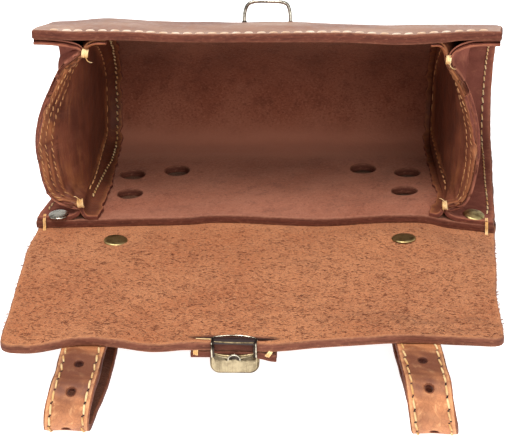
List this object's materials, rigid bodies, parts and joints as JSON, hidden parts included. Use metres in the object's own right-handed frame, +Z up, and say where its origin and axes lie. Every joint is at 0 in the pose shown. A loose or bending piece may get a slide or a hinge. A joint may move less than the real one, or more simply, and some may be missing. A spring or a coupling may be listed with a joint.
{
  "type": "leather bicycle bag",
  "caption": "Open leather bicycle bag on its back wall, with folding sides, a flap laid forward, buckled strap loops, a tuck lock and a wire catch loop.",
  "frame": {"origin": "on the surface the bag lies on, under the middle of its outline", "axes": "+Y from the flap's free edge towards the bag's rounded bottom, +Z up from the table, +X to the right for someone who looks into the mouth"},
  "size_m": [0.237, 0.29, 0.1173],
  "materials": {
    "body_leather": "waxed brown grain outside, reddish brown suede inside, burnished edges",
    "flap_leather": "orange tan flesh side with short nap and dark flecks, waxed brown grain outside",
    "side_leather": "soft waxed dark brown grain",
    "strap_leather": "waxed tan brown grain with scuffs",
    "rivet_brass": "antique brass, rubbed bright on the crown",
    "buckle_metal": "dull nickel",
    "lock_brass": "brushed antique brass",
    "staple_metal": "dull nickel"
  },
  "bodies": {
    "root": {"body_wrap": "body_leather", "back_flap_panel": "flap_leather", "gusset_outer_left": "side_leather", "gusset_inner_left": "side_leather", "gusset_outer_right": "side_leather", "gusset_inner_right": "side_leather", "corner_rivet_left": "rivet_brass", "corner_rivet_right": "rivet_brass", "strap_rivet_left": "rivet_brass", "strap_rivet_right": "rivet_brass", "strap_left": "strap_leather", "strap_right": "strap_leather", "buckle_tab_left": "strap_leather", "buckle_tab_right": "strap_leather", "buckle_left": "buckle_metal", "buckle_right": "buckle_metal", "lock_patch": "body_leather", "lock_body": "lock_brass", "staple": "staple_metal"}
  },
  "joints": []
}
